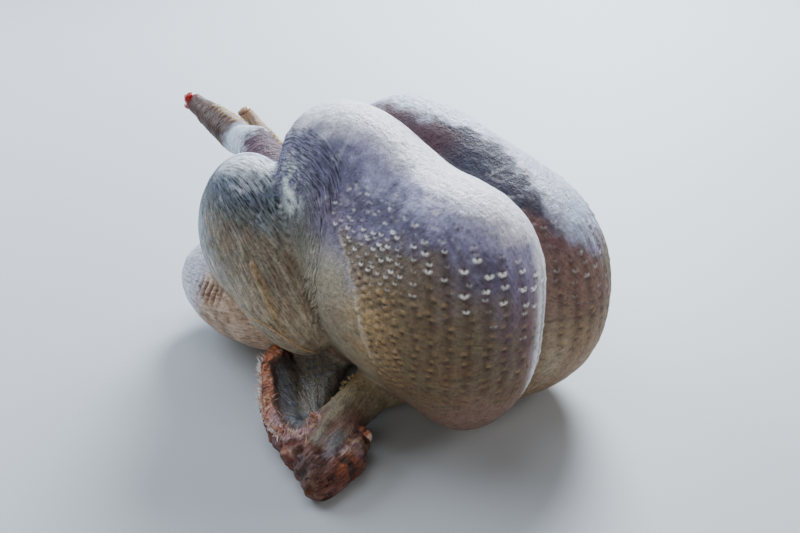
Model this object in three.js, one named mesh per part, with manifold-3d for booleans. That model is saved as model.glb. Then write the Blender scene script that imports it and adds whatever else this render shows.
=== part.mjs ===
// A whole raw turkey, plucked and dressed: one solid that lies on its back with the breast up,
// the thighs flat beside the body and the wings cut off at the wrist.
// Millimetres. +Z is up, the breast end faces -Y and the legs end towards +Y.
import * as THREE from "three";
import { mergeVertices } from "three/addons/utils/BufferGeometryUtils.js";
import Module from "manifold-3d";

// Spacing of the skin's points: over the broad forms, and closer for the wings and near the ground.
const CELL = 10;
const FINE_CELL = 6.5;
const WING_BAND = 92;
const GROUND_BAND = 32;

// Breast: two full lobes on either side of the keel's groove. The far one lies a little lower.
const LOBE_FRONT = { center: [45, 14, 90], radii: [50, 55, 83] };
const LOBE_CREST = { center: [43, 8, 139], radii: [26, 30, 27] };
const LOBE_REAR = { center: [42, 106, 118], radii: [53, 78, 88] };
const LOBE_DOME = { center: [43, 139, 175], radii: [24, 27, 24] };
const LOBE_SIDE = { center: [60, 58, 100], radii: [46, 70, 56] };
const FAR_FRONT = { center: [34, 18, 76], radii: [50, 55, 72] };
const FAR_REAR = { center: [33, 130, 109], radii: [53, 88, 87] };
const FAR_SIDE = { center: [51, 62, 92], radii: [46, 70, 56] };
const LOBE_BLEND = 60;
const CREST_BLEND = 45;
const FAR_LOBE_BLEND = 95;
const SIDE_BLEND = 30;
const GROOVE_BLEND = 10;

// Trunk under the breast: ribcage, belly behind it, tail and the folded neck skin.
const RIBCAGE = { center: [0, 120, 54], radii: [72, 126, 60] };
const BELLY = { center: [0, 200, 82], radii: [70, 78, 70] };
const TAIL = [
  { at: [0, 250, 40], radius: 34 },
  { at: [0, 292, 34], radius: 17 },
];
const NECK_FOLD = { center: [0, 32, 20], radii: [36, 28, 22] };
const TRUNK_BLEND = 34;
const BREAST_BLEND = 20;

// Leg of one side: thigh on the ground, drumstick standing on its knee above it, shin behind that.
// Each form's length leans up from y by its tilt in degrees.
const THIGH = { center: [67, 205, 48], radii: [45, 82, 44], tilt: -7 };
const DRUM_KNEE = { center: [91, 147, 87], radii: [34, 60, 39], tilt: 42 };
const DRUM_TOP = { center: [83, 192, 112], radii: [35, 57, 40], tilt: 100 };
const FAR_DRUM = { center: [83, 170, 80], radii: [37, 70, 43], tilt: 35 };
const SHIN = [
  { at: [58, 190, 136], radius: 22 },
  { at: [46, 226, 156], radius: 14 },
  { at: [40, 252, 151], radius: 12 },
];
const FAR_SHIN = [
  { at: [62, 196, 100], radius: 24 },
  { at: [46, 258, 92], radius: 15 },
  { at: [40, 284, 94], radius: 12 },
];
const DRUM_BLEND = 24;
const KNEE_BLEND = 5;
const SHIN_BLEND = 3;
const FAR_LEG_BLEND = 12;
const HIP_BLEND = 8;

// Bare shank past the hock, ringed with scales. The far one stands up more steeply.
const SHANK = [
  { at: [-43, 240, 149], radius: 9 },
  { at: [-39, 258, 151], radius: 13 },
  { at: [-36, 288, 157], radius: 11 },
  { at: [-33.5, 321, 164], radius: 7 },
];
const FAR_SHANK = [
  { at: [42, 272, 90], radius: 9 },
  { at: [36, 292, 96], radius: 13 },
  { at: [29, 313, 116], radius: 10.5 },
  { at: [24, 329, 137], radius: 7 },
];
const SHANK_SIDES = 12;
const SCALE_PITCH = 4.5;
const SCALE_HEIGHT = 0.8;

// Wing of the near side, thrown out from the shoulder with the elbow away from the body.
const WING = {
  upper: [
    { at: [-40, 60, 30], radius: 24 },
    { at: [-78, 67, 24], radius: 16 },
    { at: [-108, 63, 18], radius: 15 },
    { at: [-142, 44, 15], radius: 15 },
  ],
  fore: [
    { at: [-156, 38, 12], radius: 14 },
    { at: [-149, 65, 11], radius: 13 },
    { at: [-134, 102, 10], radius: 12 },
    { at: [-99, 144, 14], radius: 12 },
  ],
  rim: [
    { at: [-100, 148, 22], radius: 9 },
    { at: [-129, 119, 17], radius: 7 },
    { at: [-143, 96, 16], radius: 7 },
    { at: [-145, 80, 17], radius: 7 },
    { at: [-140, 70, 18], radius: 7 },
    { at: [-118, 74, 18], radius: 5 },
  ],
  elbow: [
    { at: [-162, 28, 11], radius: 13 },
    { at: [-141, 29, 12], radius: 12 },
    { at: [-118, 36, 18], radius: 8 },
  ],
};
const WEB = { corners: [[-138, 74, 4], [-86, 156, 8], [-50, 132, 12]], thickness: 8 };

// Wing of the far side, folded back against the body.
const FAR_WING = {
  upper: [
    { at: [36, 60, 30], radius: 24 },
    { at: [70, 84, 24], radius: 17 },
    { at: [94, 128, 14], radius: 16 },
  ],
  fore: [
    { at: [96, 130, 12], radius: 15 },
    { at: [106, 96, 11], radius: 14 },
    { at: [100, 58, 14], radius: 12 },
  ],
};
const FAR_WEB = { corners: [[92, 124, 5], [98, 62, 8], [64, 78, 12]], thickness: 8 };
const WING_BLEND = 6;
const SHOULDER_BLEND = 8;

// Box that holds the whole bird, the ground it lies on, and how far its lowest points press in.
const REACH = { x: [-200, 150], y: [-80, 330], z: [-40, 240] };
const GROUND = { width: 800, length: 900, thickness: 100 };
const PRESS = 1;

// Evening out the skin: rounds, the share of its own place that a point keeps, and the draw onto the form.
const SETTLE_ROUNDS = 3;
const KEPT_SHARE = 0.5;
const DRAW_ROUNDS = 2;
const SLOPE_STEP = 0.5;

// A form is a function of a point that is negative inside, roughly in millimetres of depth.

/** A soft union: the two forms run into each other over about this width. */
function blend(a, b, width) {
  const overlap = Math.max(width - Math.abs(a - b), 0) / width;
  return Math.min(a, b) - (overlap * overlap * width) / 4;
}

/** Several forms in one soft union. */
function join(width, ...forms) {
  return (x, y, z) => forms.map((form) => form(x, y, z)).reduce((sum, depth) => blend(sum, depth, width));
}

/** An ellipsoid as given, or mirrored across the body for side -1. */
function ellipsoid({ center, radii, tilt = 0 }, side = 1) {
  const [cx, cy, cz] = [center[0] * side, center[1], center[2]];
  const [rx, ry, rz] = radii;
  const lean = THREE.MathUtils.degToRad(tilt);
  const [cosine, sine] = [Math.cos(lean), Math.sin(lean)];
  return (x, y, z) => {
    const along = (y - cy) * cosine + (z - cz) * sine;
    const above = (z - cz) * cosine - (y - cy) * sine;
    const [px, py, pz] = [(x - cx) / rx, along / ry, above / rz];
    const reach = Math.hypot(px, py, pz);
    const slope = Math.hypot(px / rx, py / ry, pz / rz);
    return reach === 0 ? -Math.min(rx, ry, rz) : (reach * (reach - 1)) / slope;
  };
}

/** A round limb whose radius changes evenly between its stations. */
function limb(stations, side = 1) {
  const rings = stations.map(({ at, radius }) => [at[0] * side, at[1], at[2], radius]);
  return (x, y, z) => {
    let nearest = Infinity;
    for (let i = 1; i < rings.length; i++) {
      const [ax, ay, az, ar] = rings[i - 1];
      const [bx, by, bz, br] = rings[i];
      const [dx, dy, dz] = [bx - ax, by - ay, bz - az];
      const along = ((x - ax) * dx + (y - ay) * dy + (z - az) * dz) / (dx * dx + dy * dy + dz * dz);
      const t = Math.min(1, Math.max(0, along));
      const gap = Math.hypot(x - ax - dx * t, y - ay - dy * t, z - az - dz * t);
      nearest = Math.min(nearest, gap - ar - (br - ar) * t);
    }
    return nearest;
  };
}

/** A three-cornered sheet of skin with rounded edges. */
function web({ corners, thickness }) {
  const sheet = new THREE.Triangle(...corners.map((corner) => new THREE.Vector3(...corner)));
  const point = new THREE.Vector3();
  const nearest = new THREE.Vector3();
  return (x, y, z) => sheet.closestPointToPoint(point.set(x, y, z), nearest).distanceTo(point) - thickness;
}

function nearLeg() {
  const drumstick = join(DRUM_BLEND, ellipsoid(DRUM_KNEE, -1), ellipsoid(DRUM_TOP, -1));
  return join(SHIN_BLEND, join(KNEE_BLEND, ellipsoid(THIGH, -1), drumstick), limb(SHIN, -1));
}

function farLeg() {
  return join(FAR_LEG_BLEND, ellipsoid(THIGH), ellipsoid(FAR_DRUM), limb(FAR_SHIN));
}

function wing(parts, sheet) {
  return join(WING_BLEND, ...Object.values(parts).map((stations) => limb(stations)), web(sheet));
}

function wholeBird() {
  const trunk = join(TRUNK_BLEND, ellipsoid(RIBCAGE), ellipsoid(BELLY), limb(TAIL), ellipsoid(NECK_FOLD));
  const nearRise = join(LOBE_BLEND, ellipsoid(LOBE_FRONT, -1), ellipsoid(LOBE_REAR, -1));
  const nearSwell = join(SIDE_BLEND, nearRise, ellipsoid(LOBE_SIDE, -1));
  const nearLobe = join(CREST_BLEND, nearSwell, ellipsoid(LOBE_CREST, -1), ellipsoid(LOBE_DOME, -1));
  const farRise = join(FAR_LOBE_BLEND, ellipsoid(FAR_FRONT), ellipsoid(FAR_REAR));
  const farLobe = join(SIDE_BLEND, farRise, ellipsoid(FAR_SIDE));
  const breast = join(GROOVE_BLEND, nearLobe, farLobe);
  const body = join(HIP_BLEND, join(BREAST_BLEND, trunk, breast), nearLeg(), farLeg());
  return join(SHOULDER_BLEND, body, wing(WING, WEB), wing(FAR_WING, FAR_WEB));
}

/** Grid marks from one end to the other, closer together where they are wanted fine. */
function marks([from, to], isFine) {
  const list = [from];
  while (list.at(-1) < to) list.push(list.at(-1) + (isFine(list.at(-1)) ? FINE_CELL : CELL));
  return list;
}

// A grid cell's eight corners, its twelve edges as pairs of corners, and the four edges of each face.
const CORNERS = [0, 1, 2, 3, 4, 5, 6, 7];
const EDGES = [1, 2, 4].flatMap((bit) => CORNERS.filter((c) => !(c & bit)).map((c) => [c, c | bit]));
const FACES = [1, 2, 4].flatMap((bit) =>
  [0, bit].map((side) => EDGES.flatMap((edge, n) => (edge.every((c) => (c & bit) === side) ? [n] : []))),
);

/** Sorts a cell's crossed edges into the separate sheets of skin that pass through it. */
function sheetsOf(inside) {
  const parent = EDGES.map((edge, n) => n);
  const root = (n) => (parent[n] === n ? n : root(parent[n]));
  for (const face of FACES) {
    const crossed = face.filter((n) => inside[EDGES[n][0]] !== inside[EDGES[n][1]]);
    for (const a of crossed)
      for (const b of crossed) {
        const meeting = EDGES[a].find((c) => EDGES[b].includes(c));
        if (crossed.length === 2 || inside[meeting]) parent[root(a)] = root(b);
      }
  }
  return parent.map((_, n) => root(n));
}

/** The surface of a form as a closed net of triangles over a grid of marks. */
function skin(form, xs, ys, zs) {
  const index = (i, j, k) => i + xs.length * (j + ys.length * k);
  const depth = new Float64Array(xs.length * ys.length * zs.length);
  zs.forEach((z, k) => ys.forEach((y, j) => xs.forEach((x, i) => (depth[index(i, j, k)] = form(x, y, z)))));

  const points = [];
  const pointsOf = new Map();
  const cellPoints = (i, j, k) => {
    const key = index(i, j, k);
    if (pointsOf.has(key)) return pointsOf.get(key);
    const grid = CORNERS.map((c) => [i + (c & 1), j + ((c >> 1) & 1), k + (c >> 2)]);
    const depths = grid.map((g) => depth[index(...g)]);
    const sheets = sheetsOf(depths.map((d) => d < 0));
    const crossings = EDGES.map(([a, b]) => {
      const [start, end] = [grid[a], grid[b]].map((g) => new THREE.Vector3(xs[g[0]], ys[g[1]], zs[g[2]]));
      return depths[a] < 0 === depths[b] < 0 ? null : start.lerp(end, depths[a] / (depths[a] - depths[b]));
    });
    const names = new Map();
    for (const sheet of new Set(sheets.filter((_, n) => crossings[n]))) {
      const own = crossings.filter((crossing, n) => crossing && sheets[n] === sheet);
      const mean = own.reduce((sum, crossing) => sum.add(crossing), new THREE.Vector3());
      names.set(sheet, points.length);
      points.push(mean.divideScalar(own.length));
    }
    pointsOf.set(key, sheets.map((sheet) => names.get(sheet)));
    return pointsOf.get(key);
  };

  const triangles = [];
  const addQuad = (a, b, c, d) => {
    if (points[a].distanceTo(points[c]) < points[b].distanceTo(points[d])) triangles.push(a, b, c, a, c, d);
    else triangles.push(b, c, d, b, d, a);
  };
  const around = [
    [[0, 1, 1], [0, 0, 1], [0, 0, 0], [0, 1, 0]],
    [[1, 0, 1], [1, 0, 0], [0, 0, 0], [0, 0, 1]],
    [[1, 1, 0], [0, 1, 0], [0, 0, 0], [1, 0, 0]],
  ];
  const addFace = (i, j, k, axis, inside) => {
    const ring = around[axis].map(([di, dj, dk]) => {
      const corner = di + 2 * dj + 4 * dk;
      const edge = EDGES.findIndex(([a, b]) => a === corner && b === (corner | (1 << axis)));
      return cellPoints(i - di, j - dj, k - dk)[edge];
    });
    addQuad(...(inside ? ring : ring.reverse()));
  };
  for (let k = 1; k < zs.length - 1; k++)
    for (let j = 1; j < ys.length - 1; j++)
      for (let i = 1; i < xs.length - 1; i++) {
        const inside = depth[index(i, j, k)] < 0;
        const next = [index(i + 1, j, k), index(i, j + 1, k), index(i, j, k + 1)];
        next.forEach((other, axis) => {
          if (inside !== depth[other] < 0) addFace(i, j, k, axis, inside);
        });
      }
  settle(points, triangles, form);
  const geometry = new THREE.BufferGeometry().setFromPoints(points);
  return geometry.setIndex(triangles);
}

/** Evens out a net's points and draws each one onto the form's surface. */
function settle(points, triangles, form) {
  const neighbours = points.map(() => new Set());
  for (let t = 0; t < triangles.length; t += 3)
    for (let e = 0; e < 3; e++) {
      const [a, b] = [triangles[t + e], triangles[t + ((e + 1) % 3)]];
      neighbours[a].add(b);
      neighbours[b].add(a);
    }
  for (let round = 0; round < SETTLE_ROUNDS; round++) {
    const means = points.map((p, n) => {
      const mean = new THREE.Vector3();
      neighbours[n].forEach((other) => mean.add(points[other]));
      return mean.divideScalar(neighbours[n].size).lerp(p, KEPT_SHARE);
    });
    points.forEach((p, n) => drawOnto(p.copy(means[n]), form));
  }
}

/** Moves a point along the form's slope until it lies on the surface. */
function drawOnto(p, form) {
  const limit = FINE_CELL / 2;
  for (let round = 0; round < DRAW_ROUNDS; round++) {
    const slope = new THREE.Vector3(
      form(p.x + SLOPE_STEP, p.y, p.z) - form(p.x - SLOPE_STEP, p.y, p.z),
      form(p.x, p.y + SLOPE_STEP, p.z) - form(p.x, p.y - SLOPE_STEP, p.z),
      form(p.x, p.y, p.z + SLOPE_STEP) - form(p.x, p.y, p.z - SLOPE_STEP),
    );
    const reach = THREE.MathUtils.clamp(form(p.x, p.y, p.z), -limit, limit);
    p.addScaledVector(slope.normalize(), -reach);
  }
  // A point that only just meets the ground is pressed through it.
  if (Math.abs(p.z) < PRESS) p.z = -PRESS;
}

/** A shank as a ringed tube along its stations, each ring a row of scales. */
function ringedTube(stations) {
  const path = new THREE.CatmullRomCurve3(stations.map(({ at }) => new THREE.Vector3(...at)));
  const rows = 2 * Math.round(path.getLength() / SCALE_PITCH);
  const { normals, binormals } = path.computeFrenetFrames(rows, false);
  const points = [];
  for (let row = 0; row <= rows; row++) {
    const along = (row / rows) * (stations.length - 1);
    const from = Math.min(Math.floor(along), stations.length - 2);
    const even = THREE.MathUtils.lerp(stations[from].radius, stations[from + 1].radius, along - from);
    const radius = even + (row % 2 ? SCALE_HEIGHT : 0);
    const center = path.getPointAt(row / rows);
    for (let side = 0; side < SHANK_SIDES; side++) {
      const turn = (side / SHANK_SIDES) * 2 * Math.PI;
      const point = center.clone().addScaledVector(normals[row], radius * Math.cos(turn));
      points.push(point.addScaledVector(binormals[row], radius * Math.sin(turn)));
    }
  }
  const triangles = [];
  for (let row = 0; row < rows; row++)
    for (let side = 0; side < SHANK_SIDES; side++) {
      const next = (side + 1) % SHANK_SIDES;
      const [a, b] = [row * SHANK_SIDES + side, row * SHANK_SIDES + next];
      triangles.push(a, b, b + SHANK_SIDES, a, b + SHANK_SIDES, a + SHANK_SIDES);
    }
  const last = rows * SHANK_SIDES;
  for (let side = 1; side < SHANK_SIDES - 1; side++) {
    triangles.push(0, side + 1, side);
    triangles.push(last, last + side, last + side + 1);
  }
  return new THREE.BufferGeometry().setFromPoints(points).setIndex(triangles);
}

const wasm = await Module();
wasm.setup();

function solidOf(geometry) {
  const bare = new THREE.BufferGeometry().setIndex(geometry.index);
  bare.setAttribute("position", geometry.attributes.position);
  const merged = mergeVertices(bare);
  const vertProperties = new Float32Array(merged.attributes.position.array);
  const triVerts = new Uint32Array(merged.index.array);
  return new wasm.Manifold(new wasm.Mesh({ numProp: 3, vertProperties, triVerts }));
}

function geometryOf(solid) {
  const { vertProperties, triVerts } = solid.getMesh();
  const geometry = new THREE.BufferGeometry();
  geometry.setAttribute("position", new THREE.BufferAttribute(vertProperties, 3));
  return geometry.setIndex(new THREE.BufferAttribute(triVerts, 1));
}

const acrossMarks = marks(REACH.x, (x) => Math.abs(x) >= WING_BAND);
const alongMarks = marks(REACH.y, () => false);
const upMarks = marks(REACH.z, (z) => z < GROUND_BAND);
const ground = new THREE.BoxGeometry(GROUND.width, GROUND.length, GROUND.thickness);
ground.translate(0, 0, -GROUND.thickness / 2);
const whole = solidOf(skin(wholeBird(), acrossMarks, alongMarks, upMarks))
  .add(solidOf(ringedTube(SHANK)))
  .add(solidOf(ringedTube(FAR_SHANK)))
  .subtract(solidOf(ground));

// The part stands on its own middle: x and y run from the centre of its outline.
const shape = geometryOf(whole);
shape.computeBoundingBox();
const middle = shape.boundingBox.getCenter(new THREE.Vector3());
shape.translate(-middle.x, -middle.y, 0);

const rawSkin = new THREE.MeshStandardMaterial({ color: 0xc9b8b4, roughness: 0.55, metalness: 0 });
const turkey = new THREE.Mesh(shape, rawSkin);
turkey.name = "turkey";
const group = new THREE.Group();
group.add(turkey);

export default group;
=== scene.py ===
import bpy
import numpy as np
from mathutils import Matrix, Vector


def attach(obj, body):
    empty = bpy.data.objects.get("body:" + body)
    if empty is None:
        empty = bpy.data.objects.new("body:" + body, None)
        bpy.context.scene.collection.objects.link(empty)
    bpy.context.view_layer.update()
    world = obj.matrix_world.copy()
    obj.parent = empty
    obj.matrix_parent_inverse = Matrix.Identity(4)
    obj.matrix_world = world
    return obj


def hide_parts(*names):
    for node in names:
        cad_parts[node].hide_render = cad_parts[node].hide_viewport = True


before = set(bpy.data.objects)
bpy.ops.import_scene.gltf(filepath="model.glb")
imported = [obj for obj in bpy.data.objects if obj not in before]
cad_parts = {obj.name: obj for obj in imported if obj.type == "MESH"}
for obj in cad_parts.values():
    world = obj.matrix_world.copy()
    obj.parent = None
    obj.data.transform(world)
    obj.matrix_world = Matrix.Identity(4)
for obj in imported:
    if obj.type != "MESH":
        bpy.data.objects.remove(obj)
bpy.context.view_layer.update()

# A whole raw turkey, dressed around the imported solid. The forms below are in millimetres, in the bird's own
# frame: x across the body, y from the breast's nose to the tail, z up. PART_ORIGIN is where the part's own
# origin lies in that frame.
PART_ORIGIN = np.array([-27.5124, 146.5802, 0.0])
MM = 0.001
RANDOM_SEED = 27
draw = np.random.default_rng(RANDOM_SEED)

# Breast lobes, trunk, legs, shanks and wings, as in the solid. A limb is a list of (place, radius) stations.
LOBE_FRONT = ([45, 14, 90], [50, 55, 83])
LOBE_CREST = ([43, 8, 139], [26, 30, 27])
LOBE_REAR = ([42, 106, 118], [53, 78, 88])
LOBE_DOME = ([43, 139, 175], [24, 27, 24])
LOBE_SIDE = ([60, 58, 100], [46, 70, 56])
FAR_FRONT = ([34, 18, 76], [50, 55, 72])
FAR_REAR = ([33, 130, 109], [53, 88, 87])
FAR_SIDE = ([51, 62, 92], [46, 70, 56])
RIBCAGE = ([0, 120, 54], [72, 126, 60])
BELLY = ([0, 200, 82], [70, 78, 70])
NECK_FOLD = ([0, 32, 20], [36, 28, 22])
TAIL = [([0, 250, 40], 34), ([0, 292, 34], 17)]
THIGH = ([67, 205, 48], [45, 82, 44], -7)
DRUM_KNEE = ([91, 147, 87], [34, 60, 39], 42)
DRUM_TOP = ([83, 192, 112], [35, 57, 40], 100)
FAR_DRUM = ([83, 170, 80], [37, 70, 43], 35)
SHIN = [([58, 190, 136], 22), ([46, 226, 156], 14), ([40, 252, 151], 12)]
FAR_SHIN = [([62, 196, 100], 24), ([46, 258, 92], 15), ([40, 284, 94], 12)]
SHANK = [([-43, 240, 149], 9), ([-39, 258, 151], 13), ([-36, 288, 157], 11), ([-33.5, 321, 164], 7)]
FAR_SHANK = [([42, 272, 90], 9), ([36, 292, 96], 13), ([29, 313, 116], 10.5), ([24, 329, 137], 7)]
UPPER_ARM = [([-40, 60, 30], 24), ([-78, 67, 24], 16), ([-108, 63, 18], 15), ([-142, 44, 15], 15)]
FOREARM = [([-156, 38, 12], 14), ([-149, 65, 11], 13), ([-134, 102, 10], 12), ([-99, 144, 14], 12)]
RIM = [
    ([-100, 148, 22], 9), ([-129, 119, 17], 7), ([-143, 96, 16], 7),
    ([-145, 80, 17], 7), ([-140, 70, 18], 7), ([-118, 74, 18], 5),
]
ELBOW = [([-162, 28, 11], 13), ([-141, 29, 12], 12), ([-118, 36, 18], 8)]
WEB = [[-138, 74, 4], [-86, 156, 8], [-50, 132, 12]]
FAR_UPPER_ARM = [([36, 60, 30], 24), ([70, 84, 24], 17), ([94, 128, 14], 16)]
FAR_FOREARM = [([96, 130, 12], 15), ([106, 96, 11], 14), ([100, 58, 14], 12)]
FAR_WEB = [[92, 124, 5], [98, 62, 8], [64, 78, 12]]
WEB_THICKNESS = 8
REACH = ([-182, -60, -12], [134, 318, 218])

# How widely neighbouring forms run into each other.
TRUNK_BLEND = 34
NEAR_RISE_BLEND = 60
FAR_RISE_BLEND = 95
SIDE_BLEND = 30
CREST_BLEND = 45
BREAST_BLEND = 10
DRUM_BLEND = 24
KNEE_BLEND = 5
SHIN_BLEND = 3
FAR_LEG_BLEND = 12
WING_BLEND = 6
BELLY_BLEND = 20
HIP_BLEND = 8
SHOULDER_BLEND = 8

# Mesh spacing of the skin: first net, then how finely it is split on the detailed side and round follicles.
NET_STEP = 4.0
FAR_EDGE = 1.6 * NET_STEP
SIDE_EDGE = 2.9
WING_EDGE = 1.9
FOLLICLE_EDGE = 1.45
FAR_FOLLICLE_EDGE = 2.0
FOLLICLE_REACH = 2.6
SPLIT_ROUNDS = 3
SMOOTH_ROUNDS = 3
SMOOTH_SHARE = 0.5
LAST_SMOOTH_SHARE = 0.3


def ease(x, low, high):
    t = np.clip((x - low) / (high - low), 0, 1)
    return t * t * (3 - 2 * t)


def bell(x, width):
    return np.exp(-((x / width) ** 2))


def unit(v):
    return v / np.linalg.norm(v, axis=-1, keepdims=True)


def blend(a, b, width):
    overlap = np.maximum(width - np.abs(a - b), 0) / width
    return np.minimum(a, b) - overlap * overlap * width / 4


def join(width, *depths):
    total = depths[0]
    for depth in depths[1:]:
        total = blend(total, depth, width)
    return total


def ellipsoid(p, form, side=1):
    """Depth in an ellipsoid whose length may lean up from y by a tilt in degrees."""
    center, radii, *tilt = form
    q = p - np.array(center, float) * [side, 1, 1]
    if tilt:
        lean = np.radians(tilt[0])
        along = q[:, 1] * np.cos(lean) + q[:, 2] * np.sin(lean)
        above = q[:, 2] * np.cos(lean) - q[:, 1] * np.sin(lean)
        q = np.stack([q[:, 0], along, above], -1)
    radii = np.array(radii, float)
    q = q / radii
    reach = np.linalg.norm(q, axis=-1)
    slope = np.linalg.norm(q / radii, axis=-1) + 1e-9
    return reach * (reach - 1) / slope


def places_of(stations):
    return np.array([place for place, _ in stations], float)


def segment(p, start, end):
    """The share of the way along a straight line that is closest to each point, and the gap to it."""
    run = end - start
    t = np.clip((p - start) @ run / (run @ run), 0, 1)
    return t, np.linalg.norm(p - start - t[:, None] * run, axis=1)


def limb(p, stations, side=1):
    """Depth in a chain of tapering rounded bars."""
    nearest = np.full(len(p), np.inf)
    places = places_of(stations) * [side, 1, 1]
    radii = [radius for _, radius in stations]
    for n in range(len(stations) - 1):
        t, gap = segment(p, places[n], places[n + 1])
        nearest = np.minimum(nearest, gap - radii[n] - (radii[n + 1] - radii[n]) * t)
    return nearest


def line(*places):
    """Stations of a limb that has no thickness."""
    return [(place, 0) for place in places]


def web(p, corners):
    """Depth in a thick triangle."""
    corners = np.array(corners, float)
    normal = unit(np.cross(corners[1] - corners[0], corners[2] - corners[0]))
    nearest = np.full(len(p), np.inf)
    within = np.ones(len(p), bool)
    for start, end in zip(corners, np.roll(corners, -1, axis=0)):
        nearest = np.minimum(nearest, segment(p, start, end)[1])
        within &= np.cross(end - start, p - start) @ normal >= 0
    return np.where(within, np.abs((p - corners[0]) @ normal), nearest) - WEB_THICKNESS


def forms(p):
    """Depth of each part of the bird at the points, negative inside, and of the whole."""
    d = {}
    back = join(TRUNK_BLEND, ellipsoid(p, RIBCAGE), ellipsoid(p, BELLY), limb(p, TAIL))
    d["trunk"] = join(TRUNK_BLEND, back, ellipsoid(p, NECK_FOLD))
    near_rise = join(NEAR_RISE_BLEND, ellipsoid(p, LOBE_FRONT, -1), ellipsoid(p, LOBE_REAR, -1))
    near_swell = join(SIDE_BLEND, near_rise, ellipsoid(p, LOBE_SIDE, -1))
    d["near"] = join(CREST_BLEND, near_swell, ellipsoid(p, LOBE_CREST, -1), ellipsoid(p, LOBE_DOME, -1))
    far_rise = join(FAR_RISE_BLEND, ellipsoid(p, FAR_FRONT), ellipsoid(p, FAR_REAR))
    d["far"] = join(SIDE_BLEND, far_rise, ellipsoid(p, FAR_SIDE))
    d["breast"] = join(BREAST_BLEND, d["near"], d["far"])
    d["shin"] = limb(p, SHIN, -1)
    d["thigh"] = ellipsoid(p, THIGH, -1)
    d["drum"] = join(DRUM_BLEND, ellipsoid(p, DRUM_KNEE, -1), ellipsoid(p, DRUM_TOP, -1))
    d["leg"] = join(SHIN_BLEND, join(KNEE_BLEND, d["thigh"], d["drum"]), d["shin"])
    d["far_shin"] = limb(p, FAR_SHIN)
    d["far_leg"] = join(FAR_LEG_BLEND, ellipsoid(p, THIGH), ellipsoid(p, FAR_DRUM), d["far_shin"])
    d["arm"] = limb(p, UPPER_ARM)
    d["fore"] = limb(p, FOREARM)
    d["elbow"] = limb(p, ELBOW)
    d["web"] = web(p, WEB)
    d["wing"] = join(WING_BLEND, d["arm"], d["fore"], limb(p, RIM), d["elbow"], d["web"])
    d["far_wing"] = join(WING_BLEND, limb(p, FAR_UPPER_ARM), limb(p, FAR_FOREARM), web(p, FAR_WEB))
    d["body"] = join(HIP_BLEND, join(BELLY_BLEND, d["trunk"], d["breast"]), d["leg"], d["far_leg"])
    d["whole"] = join(SHOULDER_BLEND, d["body"], d["wing"], d["far_wing"])
    return d


def whole(p):
    return forms(p)["whole"]


def slope(p, step=0.4):
    """Outward unit normal of the whole at the points."""
    shifts = np.eye(3) * step
    g = np.stack([whole(p + s) - whole(p - s) for s in shifts], -1)
    return g / np.maximum(np.linalg.norm(g, axis=1, keepdims=True), 1e-9)


# Factors and shifts that stir the whole numbers of a cell into a random one.
CELL_FACTORS = (0x8DA6B343, 0xD8163841, 0xCB1AB31F)
SEED_FACTOR = 0x9E3779B1
STIRS = ((15, 0x2C1B3C6D), (12, 0x297A2D39))
LAST_STIR = 15
LOW_BITS = 0xFFFFFFFF


def lattice(cells, seed):
    """A repeatable number from -1 to 1 for each whole-numbered cell."""
    cells = cells.astype(np.uint64) & LOW_BITS
    h = np.uint64(seed * SEED_FACTOR)
    for axis, factor in enumerate(CELL_FACTORS):
        h = h ^ (cells[..., axis] * factor)
    for shift, factor in STIRS:
        h = (h ^ (h >> np.uint64(shift))) & LOW_BITS
        h = (h * factor) & LOW_BITS
    h = h ^ (h >> np.uint64(LAST_STIR))
    return h.astype(float) / (LOW_BITS // 2) - 1


def noise(p, size, seed=1):
    """Smooth noise from about -1 to 1 whose lumps are about that size."""
    q = p / size
    base = np.floor(q)
    f = q - base
    f = f * f * (3 - 2 * f)
    base = base.astype(np.int64)
    total = np.zeros(len(p))
    for corner in np.ndindex(2, 2, 2):
        weight = np.prod(np.where(corner, f, 1 - f), axis=1)
        total += weight * lattice(base + np.array(corner), seed)
    return total


def rough(p, size, seed=1):
    """Noise with finer noise on top of it."""
    return noise(p, size, seed) + 0.5 * noise(p, size / 2, seed + 1) + 0.25 * noise(p, size / 4, seed + 2)


def triangles(a, b, c):
    return np.stack([a, b, c], 1)


def surface_net(values, low, step):
    """Closed net round the negative part of a grid of depths, as points and triangles."""
    crossings = []
    quads = []
    size = np.array(values.shape)
    for axis in range(3):
        a = np.take(values, np.arange(size[axis] - 1), axis)
        b = np.take(values, np.arange(1, size[axis]), axis)
        edge = np.argwhere((a < 0) != (b < 0))
        start = a[tuple(edge.T)]
        end = b[tuple(edge.T)]
        place = edge.astype(float)
        place[:, axis] += start / (start - end)
        one, two = np.eye(3, dtype=int)[[(axis + 1) % 3, (axis + 2) % 3]]
        ring = np.stack([edge - one - two, edge - two, edge, edge - one], 1)
        ring[start > 0] = ring[start > 0][:, ::-1]
        quads.append(ring @ np.array([size[1] * size[2], size[2], 1]))
        crossings.append(np.repeat(place, 4, axis=0))
    _, index = np.unique(np.concatenate(quads).ravel(), return_inverse=True)
    crossings = np.concatenate(crossings)
    count = np.bincount(index)
    mean = np.stack([np.bincount(index, crossings[:, k]) / count for k in range(3)], -1)
    a, b, c, d = index.reshape(-1, 4).T
    return np.array(low) + mean * step, np.concatenate([triangles(a, b, c), triangles(a, c, d)])


def edges_of(tris):
    """The edges of triangles, each once, and which three of them each triangle has."""
    pairs = np.concatenate([tris[:, [0, 1]], tris[:, [1, 2]], tris[:, [2, 0]]])
    edges, index = np.unique(np.sort(pairs, axis=1), axis=0, return_inverse=True)
    return edges, index.reshape(3, -1).T


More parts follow.
